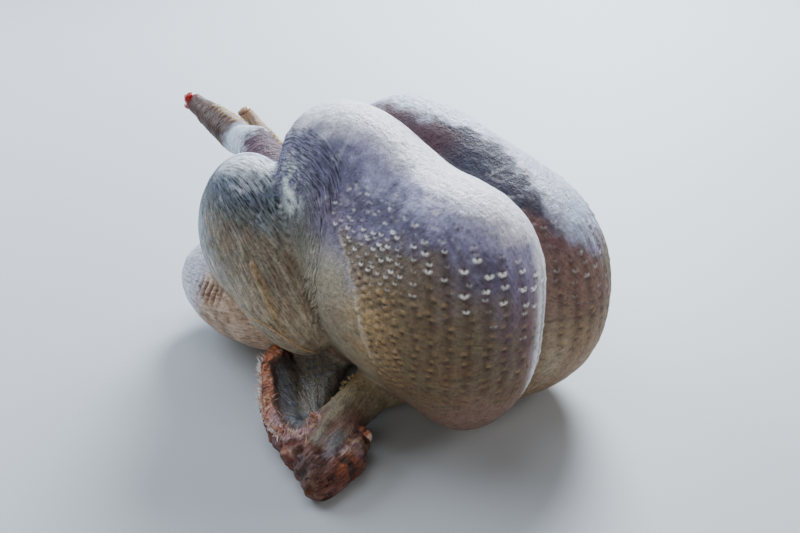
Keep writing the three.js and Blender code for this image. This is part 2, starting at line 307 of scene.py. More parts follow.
def relax(p, tris, share):
    """Moves each point part of the way to the middle of its neighbours."""
    edges, _ = edges_of(tris)
    ends = np.concatenate([edges, edges[:, ::-1]])
    count = np.bincount(ends[:, 0], minlength=len(p))
    mean = np.stack([np.bincount(ends[:, 0], p[ends[:, 1], k], len(p)) for k in range(3)], -1)
    return p + share * (mean / np.maximum(count, 1)[:, None] - p)


def draw_onto(p, reach):
    """Moves points straight onto the skin, none of them further than the reach."""
    return p - slope(p) * np.clip(whole(p), -reach, reach)[:, None]


def refine(p, tris, limit):
    """Splits every edge that is longer than the limit at its middle, and the triangles with it."""
    edges, of_tri = edges_of(tris)
    middle = p[edges].mean(axis=1)
    long = np.linalg.norm(p[edges[:, 0]] - p[edges[:, 1]], axis=1) > limit(middle)
    new_id = np.full(len(edges), -1)
    new_id[long] = len(p) + np.arange(long.sum())
    points = np.concatenate([p, middle[long]])
    mids = new_id[of_tri]
    cut = mids >= 0
    out = [tris[~cut.any(axis=1)]]
    for turn in range(3):
        t, m, c = [np.roll(rows, -turn, axis=1) for rows in (tris, mids, cut)]
        single = c[:, 0] & ~c[:, 1] & ~c[:, 2]
        a, b, d = t[single].T
        ab = m[single, 0]
        out += [triangles(a, ab, d), triangles(ab, b, d)]
        double = c[:, 0] & c[:, 1] & ~c[:, 2]
        a, b, d = t[double].T
        ab, bd, _ = m[double].T
        out += [triangles(ab, b, bd), triangles(a, ab, bd), triangles(a, bd, d)]
    full = cut.all(axis=1)
    a, b, d = tris[full].T
    ab, bd, da = mids[full].T
    out += [triangles(a, ab, da), triangles(ab, b, bd), triangles(da, bd, d), triangles(ab, bd, da)]
    return points, np.concatenate(out)


def rgb(red, green, blue):
    """A screen colour as linear light."""
    c = np.array([red, green, blue]) / 255
    return np.where(c <= 0.04045, c / 12.92, ((c + 0.055) / 1.055) ** 2.4)


def mix(a, b, share):
    return a + (b - a) * np.asarray(share)[..., None]


def painted(base, *layers, within=1.0):
    """A colour with layers over it, each a colour and its share, within a part of the skin."""
    for color, share in layers:
        base = mix(base, color, within * share)
    return base


# Follicles: columns and rows round the middle of each breast lobe, as angles in degrees.
NEAR_MIDDLE = np.array([-45.0, 60.0, 85.0])
FAR_MIDDLE = np.array([36.0, 62.0, 80.0])
FIRST_COLUMN = -40.0
REAR_COLUMN_TURN = 4.7
FRONT_START = 38.0
FRONT_COLUMN_TURN = 7.0
NEAR_LAST_COLUMN = 112.0
FAR_LAST_COLUMN = 150.0
LOWEST_ROW = -52.0
HIGHEST_ROW = 76.0
ROW_TURN = 4.6
COLUMN_SPREAD = 1.0
ROW_SPREAD = 0.75

# Share of follicles left above the patch, the heights they keep to, and how far off a lobe they may lie.
NEAR_SPARSE = 0.75
FAR_SPARSE = 0.8
BARE_HEIGHT = 178
LOWEST_FOLLICLE = 6
OFF_LOBE = 1.5

# The follicle patch of a lobe: its rear edge at several heights, and its top at several turns.
EDGE_HEIGHTS = [60, 73, 91, 121, 135, 146, 165]
EDGE_TURNS = [22, 19.7, 14.8, 8.6, -1.4, -15.6, -45]
TOP_TURNS = [-19, 20, 40, 53, 64, 74, 84, 93]
TOP_RISES = [52, 57, 52.5, 47, 41.5, 40, 36, 29]


def turned(p, middle, side):
    """Angles of points round a lobe's middle: from the bird's side towards the nose, and upwards."""
    q = p - middle
    turn = np.degrees(np.arctan2(-q[:, 1], side * q[:, 0]))
    rise = np.degrees(np.arctan2(q[:, 2], np.hypot(q[:, 0], q[:, 1])))
    return turn, rise


# Steps from inside a lobe to its skin: the first reach, the share of the depth in a step, and the least step.
FIRST_REACH = 5.0
STRIDE = 0.8
LEAST_STRIDE = 0.01
CAST_STEPS = 60


def cast_out(middle, ways):
    """Where straight lines from a point inside meet the skin."""
    reach = np.full(len(ways), FIRST_REACH)
    for _ in range(CAST_STEPS):
        reach = reach + np.maximum(-whole(middle + reach[:, None] * ways), 0) * STRIDE + LEAST_STRIDE
    return middle + reach[:, None] * ways


def lobe_follicles(middle, side, part, last_column, sparse_share):
    """Follicle places on one lobe: columns that run up it, every other one shifted by half a row."""
    rear_columns = np.arange(FIRST_COLUMN, FRONT_START, REAR_COLUMN_TURN)
    front_columns = np.arange(FRONT_START, last_column, FRONT_COLUMN_TURN)
    columns = np.concatenate([rear_columns, front_columns])
    turns, rises = np.meshgrid(columns, np.arange(LOWEST_ROW, HIGHEST_ROW, ROW_TURN), indexing="ij")
    rises = rises + ROW_TURN / 2 * (np.arange(len(columns)) % 2)[:, None]
    turns = np.radians(turns.ravel() + draw.normal(0, COLUMN_SPREAD, turns.size))
    rises = np.radians(rises.ravel() + draw.normal(0, ROW_SPREAD, rises.size))
    flat = np.cos(rises)
    ways = np.stack([side * np.cos(turns) * flat, -np.sin(turns) * flat, np.sin(rises)], -1)
    places = cast_out(middle, ways)
    turn, rise = turned(places, middle, side)
    height = places[:, 2]
    dense = rise < np.interp(turn, TOP_TURNS, TOP_RISES)
    sparse = (draw.random(len(places)) < sparse_share) & (height < BARE_HEIGHT)
    past_edge = turn > np.interp(height, EDGE_HEIGHTS, EDGE_TURNS)
    keep = past_edge & (forms(places)[part] < OFF_LOBE) & (height > LOWEST_FOLLICLE)
    return places[keep & (dense | sparse)]


def grid_of(low, high, step):
    axes = [np.arange(a, b + step, step) for a, b in zip(low, high)]
    return np.stack(np.meshgrid(*axes, indexing="ij"), -1)


grid = grid_of(*REACH, NET_STEP)
depths = np.stack([whole(sheet.reshape(-1, 3)).reshape(sheet.shape[:2]) for sheet in grid])
skin, skin_tris = surface_net(depths, REACH[0], NET_STEP)
for _ in range(SMOOTH_ROUNDS):
    skin = draw_onto(relax(skin, skin_tris, SMOOTH_SHARE), NET_STEP)

follicles = np.concatenate([
    lobe_follicles(NEAR_MIDDLE, -1, "near", NEAR_LAST_COLUMN, NEAR_SPARSE),
    lobe_follicles(FAR_MIDDLE, 1, "far", FAR_LAST_COLUMN, FAR_SPARSE),
])


def nearest_follicle(p):
    """Index of the closest follicle to each point, and how far away it is."""
    best = np.full(len(p), np.inf)
    which = np.zeros(len(p), int)
    for n, place in enumerate(follicles):
        gap = np.sum((p - place) ** 2, axis=1)
        closer = gap < best
        best[closer] = gap[closer]
        which[closer] = n
    return which, np.sqrt(best)


def edge_limit(p):
    """How long a skin edge may be: short round follicles and on the near wing, long underneath and behind."""
    px, py, pz = p.T
    near_side = px < -8
    nose = py < 25
    top = pz > 165
    shoulder = (py < 75) & (pz > 70)
    off_floor = pz > 1.5
    near_wing = (px < -88) & (py < 165) & (pz < 40)
    limit = np.where((near_side | nose | top | shoulder) & off_floor, SIDE_EDGE, FAR_EDGE)
    limit = np.where(near_wing, WING_EDGE, limit)
    _, gap = nearest_follicle(p)
    near_lobe = (px < 2) & (pz <= 160)
    at_follicle = (gap < FOLLICLE_REACH) & (pz > 42)
    return np.where(at_follicle, np.where(near_lobe, FOLLICLE_EDGE, FAR_FOLLICLE_EDGE), limit)


for _ in range(SPLIT_ROUNDS):
    skin, skin_tris = refine(skin, skin_tris, edge_limit)
    skin = draw_onto(skin, NET_STEP)
skin = draw_onto(relax(skin, skin_tris, LAST_SMOOTH_SHARE), NET_STEP)

# Parts of the skin, each a share from 0 to 1 that runs into the next over a few millimetres.
depth = forms(skin)
normal = slope(skin)
x, y, z = skin.T


def dab(place, size):
    """A soft spot round a place, with a size for each axis."""
    return np.exp(-np.sum(((skin - np.array(place)) / np.array(size)) ** 2, axis=1))


hip_spread = 9 * dab([-92, 136, 150], [18, 18, 24])
leg_share = ease(depth["breast"] - depth["leg"] + hip_spread, -3, 5)
far_leg_share = ease(depth["breast"] - depth["far_leg"], -3, 5)
wing_share = ease(depth["body"] - depth["wing"], -3, 3)
far_wing_share = ease(depth["body"] - depth["far_wing"], -3, 3)
body_share = (1 - wing_share) * (1 - far_wing_share)
breast_share = (1 - leg_share) * (1 - far_leg_share) * body_share
near_share = breast_share * ease(depth["far"] - depth["near"], -2, 2)
far_share = breast_share - near_share
thigh_share = leg_share * body_share * ease(depth["drum"] - depth["thigh"], -1.5, 2.5)
drum_share = leg_share * body_share - thigh_share
shin_share = leg_share * ease(depth["drum"] - depth["shin"], -1, 4)
past_far_shin = np.minimum(depth["breast"], depth["trunk"]) - depth["far_shin"]
far_shin_share = ease(past_far_shin, 0, 7) * ease(y, 205, 225)

# Wing: a narrow torn rim, the web inside it, the arm, and flesh outside the rim and at the elbow.
RIM_LINE = line(
    [-100, 146, 31], [-113, 145, 26], [-123, 130, 25], [-133, 117, 24], [-143, 104, 22], [-150, 91, 21],
    [-154, 77, 21], [-154, 65, 23], [-149, 59, 24], [-136, 64, 24], [-127, 69, 25],
)
WEB_MIDDLE = np.array([-112.0, 98.0])


def turn_about(p):
    """Angle in degrees and distance of points round the web's middle, seen from above."""
    q = p[:, :2] - WEB_MIDDLE
    return np.degrees(np.arctan2(q[:, 1], q[:, 0])) % 360, np.hypot(q[:, 0], q[:, 1])


rim_turns, rim_reaches = turn_about(places_of(RIM_LINE))
wing_turn, wing_reach = turn_about(skin)
within_rim = ease(np.interp(wing_turn, rim_turns, rim_reaches) - wing_reach, -1.5, 1.5)
within_rim = np.where((wing_turn < 60) | (wing_turn > 250), 1.0, within_rim)
rim_gap = limb(skin, RIM_LINE) + 1.1 * noise(skin, 5, 24)
flesh_depth = np.minimum(depth["fore"], depth["elbow"])
rim_share = wing_share * ease(rim_gap, 6.2, 4.0)
arm_share = wing_share * ease(np.minimum(depth["web"], flesh_depth) - depth["arm"], -2, 2) * (1 - rim_share)
web_share = np.clip(wing_share - rim_share - arm_share, 0, 1) * within_rim * ease(y, 56, 66)
flesh_share = np.clip(wing_share - rim_share - arm_share - web_share, 0, 1)


def around(p, start, end, outward, girth):
    """Millimetres along a limb and round it."""
    axis = unit(np.array(end, float) - start)
    first = np.array(outward, float)
    first = unit(first - axis * (first @ axis))
    q = p - start
    turn = np.arctan2(q @ np.cross(axis, first), q @ first)
    return np.stack([q @ axis, turn * girth], -1)


# Which way the skin's fine lines run: along the first coordinate, side by side along the second.
# LINES_APART keeps the pattern of one part from running on into the next.
HIP_PIT = np.array([-100.0, 138.0, 128.0])
WEB_ROOT = [-128, 68, 16]
LINES_APART = 300
hip_gap = np.linalg.norm(skin - HIP_PIT, axis=1) + 2.5 * noise(skin, 13, 90)
near_lines = around(skin, [-45, 60, 95], [-45, 0, 95], [-1, 0, 0], 55)
far_lines = around(skin, [36, 62, 85], [36, 0, 85], [1, 0, 0], 55)
hip_turn = around(skin, HIP_PIT, HIP_PIT + [-0.9, 0.1, 0.4], [0.2, -0.6, 0.75], 30)[:, 1]
hip_lines = np.stack([1.6 * hip_turn, hip_gap], -1)
drum_lines = around(skin, [-95, 105, 50], [-100, 196, 146], [-1, 0, 0], 38)
far_drum_lines = around(skin, [92, 112, 50], [78, 203, 140], [1, 0, 0], 38)
thigh_lines = around(skin, [-67, 205, 48], [-67, 300, 36], [-1, 0, 0], 44)
arm_lines = around(skin, [-60, 66, 25], [-142, 44, 15], [0, 0, 1], 16)
web_fan = around(skin, WEB_ROOT, [-128, 68, 116], [0.45, 0.9, 0], 42)[:, 1]
web_lines = np.stack([np.hypot(x - WEB_ROOT[0], y - WEB_ROOT[1]), web_fan], -1)
rim_lines = np.stack([rim_gap, np.radians(wing_turn) * 45], -1)
flesh_lines = around(skin, [-165, 28, 12], [-118, 34, 18], [0, 0, 1], 14)
shin_lines = around(skin, [-58, 190, 136], [-40, 252, 151], [-1, 0, 0], 15)[:, ::-1]

lines = np.column_stack([near_lines, np.zeros(len(skin))])
streak = 0.3 * near_share
seam = np.ones(len(skin))
hip_share = near_share * ease(hip_gap, 95, 66) * ease(y, 78, 96)
for order, (share, run, amount) in enumerate([
    (far_share, far_lines, 0.3),
    (hip_share, hip_lines * [1, 1.4], 0.5 + 1.1 * ease(hip_gap, 30, 50)),
    (far_leg_share * body_share, far_drum_lines, 0.9),
    (drum_share, drum_lines, 0.75 + 1.2 * bell(z - 146, 15)),
    (thigh_share, thigh_lines, 0.65),
    (shin_share, shin_lines, 0.6),
    (arm_share, arm_lines, 0.4),
    (web_share, web_lines, 0.4),
    (rim_share, rim_lines, 1.0),
    (flesh_share, flesh_lines, 0.9),
]):
    here = share > 0.5
    lines[here, :2] = run[here]
    lines[here, 2] = LINES_APART * (order + 1)
    streak[here] = amount if np.isscalar(amount) else amount[here]
    seam *= ease(np.abs(share - 0.5), 0.02, 0.4)
streak *= seam

# Relief, in millimetres out of the skin.
lift = np.zeros(len(skin))

# Follicles: pits with an upturned lower lip in the shown band, and knobs over a hollow below it.
LIP_RADIUS = 1.5
LIP_WIDTH = 0.75
TICK_RADIUS = 1.3
TICK_WIDTH = 0.7
BUMP_RADIUS = 2.7
SHOWN_TURNS = [10, 50, 58, 66, 92]
SHOWN_RISES = [32, 30, 26, 16, 7]
FAR_GAIN = 0.7
COLUMN_WIDTH = 1.7

which, gap = nearest_follicle(skin)
offset = skin - follicles[which]
up_way = np.array([0, 0, 1.0]) - normal * normal[:, 2:3]
up_way /= np.maximum(np.linalg.norm(up_way, axis=1, keepdims=True), 1e-6)
rise = np.sum(offset * up_way, axis=1)
across = np.abs(np.sum(offset * np.cross(up_way, normal), axis=1))
follicle_cells = np.stack([which, which * 0, which * 0], -1)
chance = lattice(follicle_cells, 5)
other_chance = lattice(follicle_cells, 6)
on_near = x < 0
lobe_turn, lobe_rise = np.where(on_near, turned(skin, NEAR_MIDDLE, -1), turned(skin, FAR_MIDDLE, 1))
patch_top = np.interp(lobe_turn, TOP_TURNS, TOP_RISES)
patch_rear = np.interp(z, EDGE_HEIGHTS, EDGE_TURNS)
above_top = lobe_rise - patch_top
dense = ease(lobe_rise, patch_top + 6, patch_top - 2)
shown_from = np.interp(lobe_turn, SHOWN_TURNS, SHOWN_RISES)
shown = ease(lobe_rise + 5 * other_chance, shown_from, shown_from + 10)
rear_zone = ease(lobe_turn, 52, 24)
wide = (1 + 0.25 * chance) * np.interp(lobe_turn, [20, 60], [0.76, 1.12])
ring = np.hypot(1.1 * rise, across) / wide


def spot(height, tall, broad):
    """A soft spot at a height over the middle of the closest follicle."""
    return np.exp(-(((rise - height) / tall) ** 2) - (across / broad) ** 2)


lip = bell(ring - LIP_RADIUS, LIP_WIDTH) * (0.6 - 0.4 * np.tanh(rise / 0.8))
highlight_tick = bell(ring - TICK_RADIUS, TICK_WIDTH) * ease(rise, 0.8, -0.4) * (0.6 + 0.4 * ease(across, 0.1, 0.9))
bump = bell(gap, BUMP_RADIUS * wide)
hole = spot(height=0.5, tall=0.9, broad=0.9)
shade_below = spot(height=-3.4, tall=1.4, broad=2.0)
knob = spot(height=0.9, tall=1.5, broad=1.8)
under_knob = spot(height=-2.0, tall=1.3, broad=1.9)
lobe_gain = np.where(on_near, 1.0, FAR_GAIN)
peak_share = breast_share * lobe_gain * shown * (0.42 + 0.58 * dense) * (0.75 + 0.5 * other_chance)
peak = (0.7 + 0.5 * rear_zone) * bump + lip - 1.1 * hole - 0.6 * shade_below
lift += peak_share * (0.55 + 0.45 * dense) * ease(lobe_turn, 112, 96) * peak
low_share = breast_share * dense * (1 - shown) * (0.75 + 0.35 * chance) * (0.25 + 0.75 * ease(z, 38, 82))
lift += low_share * lobe_gain * ((0.85 + 0.5 * rear_zone) * knob - 0.8 * under_knob)

# Shallow furrows run down the columns of the front.
half_column = FRONT_COLUMN_TURN / 2
column_gap = (lobe_turn - FRONT_START + half_column) % FRONT_COLUMN_TURN - half_column
shaded_furrow = bell(column_gap, COLUMN_WIDTH) * ease(lobe_turn, 36, 52) * ease(above_top, 6, -4)
shaded_furrow = shaded_furrow * ease(z, 40, 75) * breast_share
lift -= 0.35 * shaded_furrow

# The patch stands a little proud of the bare skin behind it, with a beaded edge.
past_edge = (lobe_turn - patch_rear) * 1.15
in_patch = ease(past_edge, -2, 7) * dense * ease(z, 20, 60)
edge_line = bell(past_edge - 1.5, 2.4) * dense * ease(z, 62, 85) * ease(z, 152, 143) * near_share
lift += breast_share * 0.8 * in_patch + edge_line * (0.7 + 0.8 * noise(skin, 3.0, 71))


def lined(run, stretch, size, seed):
    """Noise drawn out along the skin's lines."""
    return noise(np.column_stack([run[:, 0] / stretch, run[:, 1], np.zeros(len(run))]), size, seed)


# Fine folds: arcs round the hip, fans down the drumstick, creases across the thigh, unevenness everywhere.
FOLD = line([-119.5, 142.7, 109.9], [-120.8, 129.1, 95.2], [-119.3, 118.4, 76], [-117.1, 115.4, 65.9])
THIGH_FOLD_PITCH = 6.6

lift += 0.55 * hip_share * ease(hip_gap, 25, 40) * lined(hip_lines, 2.5, 3.4, 81)
lift += 0.5 * drum_share * lined(drum_lines, 9, 3.8, 82) * ease(z, 160, 140)
lift += 0.4 * far_leg_share * body_share * lined(far_drum_lines, 9, 4.2, 83)
lift += 0.55 * thigh_share * lined(thigh_lines, 5, 5.5, 84)
lift += 0.18 * near_share * (1 - in_patch) * lined(near_lines, 4, 4, 85)
lift += 0.18 * far_share * lined(far_lines, 4, 4, 86)
thigh_fold = dab([-109, 212, 59], [14, 17, 9])
lift += 1.6 * thigh_fold * np.cos((y - 199 + 0.25 * (z - 62)) * 2 * np.pi / THIGH_FOLD_PITCH)
fold_gap = limb(skin, FOLD) + 1.2 * noise(skin, 9, 92)
lift += drum_share * (1.8 * bell(fold_gap, 2.2) - 0.9 * bell(fold_gap - 4.5, 2.2))
breast_grain = 0.16 * rough(skin, 7, 14) * breast_share
lift += 0.4 * rough(skin, 30, 11) + breast_grain + 0.1 * noise(skin, 3.0, 15) * breast_share
hip_line = depth["breast"] - depth["leg"]
lift -= 1.2 * bell(hip_line, 2.2) * body_share * ease(z, 160, 140)
pit_curds = dab([-89, 136, 159], [12, 13, 19]) * body_share
curds = rough(skin, 6, 93)
lift += 0.9 * pit_curds * curds

# Torn flesh of the wings: a ragged rim, craggy lumps at the elbow, a hollow and beads on the web, a crevice.
CREVICE = line([-131, 48, 30], [-150, 40, 26], [-160, 36, 20])
ragged = rough(skin, 7, 21)
lumps = rough(skin, 9, 27)
crag = flesh_share * dab([-160, 52, 16], [20, 20, 26])
in_hollow = ease(rim_gap, 4, 9) * ease(rim_gap, 24, 12) * web_share
lift += rim_share * (1.4 + 1.2 * ragged + noise(skin, 3.0, 25)) - 2.2 * in_hollow
lift += flesh_share * (1.6 * lumps + 1.2 * noise(skin, 3.8, 26)) + crag * (1.6 * lumps - 1.4)
lift += arm_share * (0.5 * rough(skin, 10, 31) + 0.5 * lined(arm_lines, 5, 4, 32))
web_beads = ease(noise(skin, 4.2, 33), 0.15, 0.7)
web_folds = lined(web_lines, 8, 4, 34)
lift += web_share * (0.7 * web_beads + 0.4 * web_folds)
crevice = bell(limb(skin, CREVICE), 4.0) * wing_share
lift -= 2.6 * crevice
lift += far_wing_share * (0.9 * lumps + 0.4 * noise(skin, 5, 28))
lift *= ease(z, 0.5, 8)

# Colours of raw skin and flesh.
PALE = rgb(238, 239, 246)
LAVENDER = rgb(154, 152, 190)
DUSK = rgb(90, 87, 118)
DARK_BAND = rgb(76, 70, 98)
MOSS = rgb(84, 84, 76)
PLUM = rgb(110, 90, 116)
INDIGO = rgb(48, 46, 68)
OLIVE = rgb(118, 104, 82)
OCHRE = rgb(196, 166, 118)
UMBER = rgb(120, 92, 70)
TAUPE = rgb(140, 114, 102)
IVORY = rgb(190, 176, 152)
STONE = rgb(158, 150, 128)
MAROON = rgb(128, 70, 72)
WINE = rgb(88, 50, 56)
CHESTNUT = rgb(130, 98, 88)
FAWN = rgb(150, 124, 96)
PINK = rgb(108, 76, 96)
STEEL = rgb(106, 118, 140)
LICHEN = rgb(108, 115, 118)
HAZE = rgb(140, 155, 170)
ICE = rgb(226, 235, 248)
SKY = rgb(182, 194, 222)
FROST = rgb(206, 217, 236)
MINT = rgb(214, 228, 224)
BLUSH = rgb(178, 150, 126)
PEACH = rgb(204, 178, 156)
GRAPE = rgb(68, 38, 58)
FLESH = rgb(170, 108, 84)
MEAT = rgb(96, 52, 42)
RUST = rgb(168, 92, 48)
SHADE_BROWN = rgb(96, 56, 40)
PIT = rgb(58, 44, 42)
BARK = rgb(74, 54, 46)
SLATE = rgb(148, 146, 140)
GRAPHITE = rgb(100, 102, 108)
ROSE = rgb(158, 122, 124)
DRAB = rgb(122, 112, 90)
CLAY = rgb(120, 114, 100)
SAND = rgb(180, 150, 106)
WHITE = rgb(250, 250, 250)

# A dark band along the near lobe's upper outer slope.
DARK_BAND_PATH = line(
    [-88, 84, 164], [-84, 56, 169], [-84, 24, 165], [-80, 2, 161], [-73, -14, 155], [-64, -28, 147],
)
HOCK_START = 216

# Breast: taupe underneath, olive, then lavender and white towards the top, with a dark band along the near
# lobe.
patches = rough(skin, 26, 41)
speckle = rough(skin, 9, 43)
grain = rough(skin, 4.5, 47)
dots = grain + 0.6 * speckle
high = ease(z, 130, 160)
dusk_reach = np.interp(lobe_turn, [10, 60, 76], [22, 6, -1])
near_dusk = ease(above_top + 3 * speckle, dusk_reach, dusk_reach - 9) * ease(z, 122, 144)
# Painted shade: the near lobe's dome darkens on its steeper sides.
dome_side_shade = 0.3 * ease(y, 70, 100) * ease(normal[:, 2], 0.7, 0.45)
# Painted highlight: the skin turns white where it faces up and back towards the lamps.
across_pull = np.interp(y, [40, 110], [0.3, 0.05])
along_pull = np.interp(y, [40, 110], [0.25, -0.2])
highlight_from = np.interp(y, [75, 120], [0.62, 0.45])
light_facing = across_pull * normal[:, 0] - along_pull * normal[:, 1] + 0.93 * normal[:, 2]
top_highlight = ease(light_facing + 0.05 * patches + 0.05 * speckle, highlight_from, 0.92) * ease(z, 120, 165)
dark_band_gap = limb(skin, DARK_BAND_PATH) + 3 * speckle + 2 * grain
# The lavender and white towards the top are partly the skin's own colour and partly painted sky light.
tone = painted(
    TAUPE,
    (OLIVE, ease(z + 10 * patches, 34, 70)),
    (LAVENDER, ease(z + 14 * patches + 5 * speckle, 112, 150)),
    (DUSK, near_share * np.clip(0.8 * near_dusk + dome_side_shade, 0, 0.85)),
    (PLUM, 0.55 * near_share * dab([-90, 90, 155], [14, 32, 13])),
    (PALE, 0.95 * breast_share * top_highlight),
    (DARK_BAND, 0.7 * near_share * bell(dark_band_gap, 7.5)),
    (PALE, 0.16 * ease(dots, 0.4, 1.1) * high),
    # Painted shade: dark dots high up where the skin turns away from the light.
    (DUSK, 0.6 * ease(dots, -0.2, -1.0) * high * ease(light_facing, 0.9, 0.6)),
)

# Near lobe: stone grey behind the patch, olive and ochre inside it, plum in front, and a painted highlight
# along its inner edge.
behind_patch = ease(patch_rear - lobe_turn, -1, 7) * ease(z, 150, 128) * ease(z, 10, 40)
brown_patch = in_patch * ease(lobe_turn, 78, 50)
brown_top = np.interp(lobe_turn, [38, 66], [58, 48])
# Painted highlight: white where the inner edge turns towards the lamp behind and to the right.
inner_edge_highlight = ease(0.707 * (normal[:, 0] - normal[:, 1]), 0.72, 0.92)
tone = painted(
    tone,
    (STONE, 0.8 * behind_patch * (0.7 + 0.3 * ease(speckle, -0.6, 0.6))),
    (MOSS, 0.9 * dab([-95, 119, 136], [18, 20, 24])),
    (OLIVE, 0.85 * brown_patch * ease(lobe_rise + 4 * speckle, brown_top, brown_top - 14)),
    (OCHRE, 0.95 * dab([-108, 38, 96], [20, 17, 26]) * ease(speckle, -1.0, 0.4)),
    (UMBER, 0.5 * ease(speckle, -0.3, 0.7) * ease(z, 120, 90) * ease(z, 36, 60)),
    (PLUM, 0.7 * dab([-52, -40, 118], [24, 20, 34]) * ease(speckle, -1.2, 0.2)),
    (MAROON, 0.6 * dab([-36, -40, 96], [12, 16, 34])),
    (PALE, inner_edge_highlight * ease(z, 20, 60)),
    within=near_share,
)

# Far lobe: pale top, partly painted sky light, painted shade on the wall down to the groove, a brown patch on
# its front and sandy skin below.
# The pale bluish top is partly the skin's own colour and partly painted sky light.
sky_from = np.interp(y, [5, 60], [118, 96])
sky_to = np.interp(y, [5, 60], [140, 152])
sky_height = z + 6 * speckle + 5 * patches * ease(y, 5, 60)
# Painted shade: dark blue on the wall down to the groove between the lobes.
groove_shade_edge = np.interp(y, [-14, 12, 55, 96, 119], [20, 26, 41, 26, 14])
groove_shade = ease(x - groove_shade_edge + 6 * speckle + 4 * grain, 7, -6) * ease(z, 124, 146)
brow = 150 - 1.05 * np.maximum(x - 12, 0)
brown_front = ease(brow - z + 7 * speckle, -5, 8) * ease(z, 76, 96) * ease(y, 40, 12)
tone = painted(
    tone,
    (FAWN, 0.85 * ease(z, 104, 70)),
    (SKY, 0.75 * ease(sky_height, sky_from, sky_to)),
    (INDIGO, groove_shade),
    # Painted shade: maroon low in the groove towards the rear.
    (WINE, 0.7 * ease(x + 4 * speckle, 26, 16) * ease(y, 62, 92)),
    (CHESTNUT, 0.9 * brown_front),
    (WINE, 0.8 * dab([16, -10, 134], [18, 22, 18]) * ease(speckle, -0.9, 0.2)),
    (IVORY, 0.7 * dab([6, -22, 55], [8, 16, 40])),
    within=far_share,
)

# Legs: a pale top, partly painted highlight, a dark band below it, clay lower down with pale strands, a sandy
# fold and a purple shin.
strands = lined(drum_lines, 5, 2.6, 94)
band_height = z + 5 * patches + 6 * strands + 3 * grain
ice_height = z + 4 * patches + 5 * speckle + 6 * strands + 4 * grain
drum_tone = painted(
    CLAY,
    (BLUSH, 0.3 * ease(speckle, 0, 0.9)),
    (IVORY, 0.5 * ease(z, 112, 74)),
    (UMBER, 0.5 * ease(strands, 0.0, -0.7)),
    (IVORY, 0.55 * ease(strands, 0.2, 0.8)),
    # Painted sky light: bluish where the drumstick faces back towards the lamps.
    (HAZE, 0.9 * ease(normal[:, 1] + 0.15 * grain, 0.0, 0.5) * ease(z, 75, 100)),
    (mix(LICHEN, STEEL, ease(band_height, 136, 152)),
     0.95 * ease(band_height, 118, 140) * ease(normal[:, 1], 0.75, 0.45)),
    # Partly painted highlight: the drumstick's top turns icy white.
    (ICE, ease(ice_height, 150, 170)),
    (ICE, 0.25 * ease(grain + 0.7 * strands, 0.6, 1.1) * ease(z, 122, 136)),
    (SAND, 0.75 * bell(fold_gap, 2.4)),
)
thigh_tone = painted(
    BLUSH,
    (PEACH, ease(speckle, -0.2, 0.7)),
    (UMBER, 0.5 * ease(speckle + 0.6 * grain, -0.2, -1.0)),
    (SKY, 0.65 * ease(y + 0.4 * z + 7 * grain, 236, 256)),
    # Painted shade in the troughs of the thigh's folds.
    (SHADE_BROWN, 0.85 * np.clip(thigh_fold * 1.6, 0, 1) * ease(lift, 0.4, -0.8)),
)
on_shin = np.clip(1.7 * shin_share, 0, 1)
tone = painted(
    tone,
    (drum_tone, np.clip(drum_share + far_leg_share * body_share, 0, 1)),
    (MINT, np.clip(1.3 * pit_curds, 0, 1) * ease(curds, -0.5, 0.3)),
    (thigh_tone, thigh_share),
    (GRAPE, on_shin),
    (PINK, 0.8 * on_shin * ease(lined(shin_lines, 6, 5, 95), 0.0, 0.6)),
    (FROST, 0.9 * on_shin * ease(y + 5 * grain, HOCK_START, HOCK_START + 14)),
    (BLUSH, 0.5 * dab([0, 282, 36], [40, 30, 34]) * ease(speckle, -0.9, 0.3)),
    (GRAPE, far_shin_share),
    (PINK, 0.6 * far_shin_share * ease(speckle, -0.2, 0.7)),
)

# Wings: drab arm, grey web with beads, rosy and rusty rim, dark brown flesh at the elbow, painted shade in
# the crevice.
far_wing_tone = painted(
    DRAB,
    (TAUPE, ease(speckle, -0.5, 0.5)),
    (MAROON, 0.6 * ease(noise(skin, 12, 50), 0.1, 0.7)),
    (MEAT, 0.8 * ease(lumps, 0.1, 0.8) * ease(y, 90, 70)),
)
flesh_tone = painted(
    MEAT,
    (CHESTNUT, 0.25 * ease(lumps, -0.3, 0.5)),
    (RUST, 0.5 * ease(noise(skin, 9, 48), 0.3, 0.8)),
    (PLUM, 0.6 * ease(noise(skin, 11, 49), 0.25, 0.7)),
    (BLUSH, 0.22 * ease(lumps + 0.5 * grain, 0.45, 1.1)),
    (BLUSH, 0.6 * dab([-130, 27, 23], [11, 7, 9]) * ease(grain, -0.6, 0.4)),
    (RUST, 0.7 * dab([-145, 20, 20], [9, 7, 7])),
    (PEACH, 0.5 * dab([-140, 28, 24], [9, 4, 6]) * ease(grain, -0.3, 0.6)),
    (PEACH, 0.4 * dab([-169, 21, 18], [6, 6, 7]) * ease(grain, -0.3, 0.6)),
    (STEEL, 0.5 * dab([-150, 32, 26], [8, 6, 6])),
    (PIT, 0.9 * ease(lumps + 0.4 * grain, -0.15, -0.8)),
    (PIT, 0.8 * dab([-168, 46, 14], [8, 7, 9])),
    (PIT, 0.75 * dab([-166, 34, 21], [11, 11, 10])),
)
rim_tone = painted(
    ROSE,
    (FLESH, ease(y + 6 * speckle, 84, 104)),
    (RUST, 0.8 * ease(y + 8 * speckle, 112, 134)),
    (MEAT, 0.65 * ease(ragged + 0.4 * grain, -0.2, -0.9)),
    (PEACH, 0.65 * ease(grain + 0.5 * ragged, 0.2, 0.9)),
)
